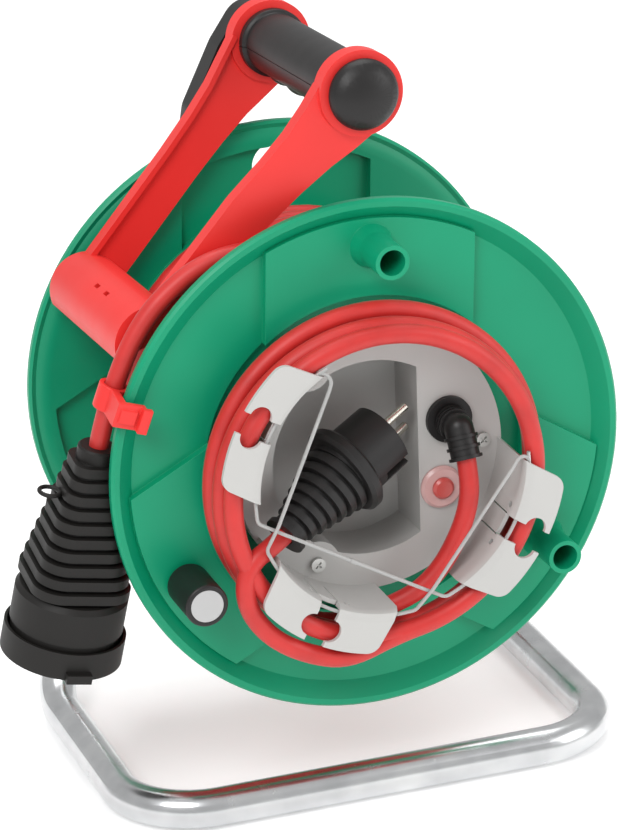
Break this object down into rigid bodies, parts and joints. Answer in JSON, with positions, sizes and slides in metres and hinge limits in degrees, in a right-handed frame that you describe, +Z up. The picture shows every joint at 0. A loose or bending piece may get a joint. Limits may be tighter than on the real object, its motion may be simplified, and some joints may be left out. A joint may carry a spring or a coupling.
{
  "type": "extension cord reel",
  "caption": "Cable drum with a crank knob on a bent tube stand, with a swinging cable guide on its grip, a parked plug and a capped coupling.",
  "frame": {"origin": "on the floor, under the middle of the stand and drum, the free cord's coupling left out", "axes": "+X to the right seen from the front, +Y back along the drum's axle, +Z up"},
  "size_m": [0.3509, 0.248, 0.4231],
  "materials": {
    "galvanised_tube": "satin",
    "black_plastic": "satin",
    "green_plastic": "satin",
    "grey_plastic": "satin",
    "red_plastic": "satin",
    "red_cable": "matte",
    "black_rubber": "matte",
    "zinc_steel": "satin",
    "nickel_brass": "gloss",
    "bush_plastic": "matte",
    "badge": "satin",
    "reset_plastic": "gloss",
    "elastic": "matte"
  },
  "bodies": {
    "stand": {"frame_tube": "galvanised_tube", "rear_bracket": "black_plastic", "tube_bolts": "zinc_steel", "axle": "zinc_steel", "axle_washer": "zinc_steel", "axle_spacer": "zinc_steel", "axle_nut": "zinc_steel", "grip_upper": "black_plastic", "grip_lower": "black_plastic", "grip_rod": "zinc_steel", "grip_cap": "black_plastic", "cable_tail": "red_cable", "cable_clip": "red_plastic", "coupling_body": "black_rubber", "coupling_socket": "black_rubber", "coupling_contacts": "nickel_brass", "coupling_earth_clips": "nickel_brass", "lid_pin": "zinc_steel"},
    "drum": {"drum_front": "green_plastic", "core_front": "green_plastic", "core_rear": "green_plastic", "drum_rear": "green_plastic", "drum_screws": "zinc_steel", "hub_bush": "bush_plastic", "main_winding": "red_cable", "plug_holder": "grey_plastic", "holder_screws": "zinc_steel", "cable_gland": "black_plastic", "gland_nut": "black_plastic", "thermal_cutout": "black_plastic", "cutout_bezel": "reset_plastic", "terminal_block": "grey_plastic", "feed_coil": "red_cable", "feed_lead": "red_cable", "plug_body": "black_plastic", "plug_pins": "nickel_brass", "plug_earth_clips": "nickel_brass", "plug_lead": "red_cable", "retaining_band": "elastic", "knob_screw": "zinc_steel"},
    "crank": {"crank_knob": "black_plastic", "knob_badge": "badge"},
    "reset": {"reset_button": "reset_plastic"},
    "guide": {"cable_guide": "red_plastic"},
    "lid": {"coupling_lid": "black_rubber"}
  },
  "joints": [
    {"name": "drum_spin", "type": "hinge", "parent": "stand", "child": "drum", "pos_m": [0, 0, 0.197], "axis": [0, 1, 0], "continuous": true},
    {"name": "knob_spin", "type": "hinge", "parent": "drum", "child": "crank", "pos_m": [-0.10555, -0.10075, 0.14205], "axis": [0, 1, 0], "continuous": true},
    {"name": "reset_press", "type": "slide", "parent": "drum", "child": "reset", "axis": [0, 1, 0], "range_m": [0, 0.0025], "stiffness_N_per_m": 400, "springref_m": -0.001},
    {"name": "guide_swing", "type": "hinge", "parent": "stand", "child": "guide", "pos_m": [0.002, 0.06625, 0.391], "axis": [0, 0.9981, -0.0611], "range_deg": [0, 70]},
    {"name": "lid_open", "type": "hinge", "parent": "stand", "child": "lid", "pos_m": [-0.16295, -0.01238, 0.12334], "axis": [0.9824, 0, -0.1867], "range_deg": [0, 110], "stiffness_Nm_per_rad": 0.02, "springref_deg": -45.84}
  ]
}
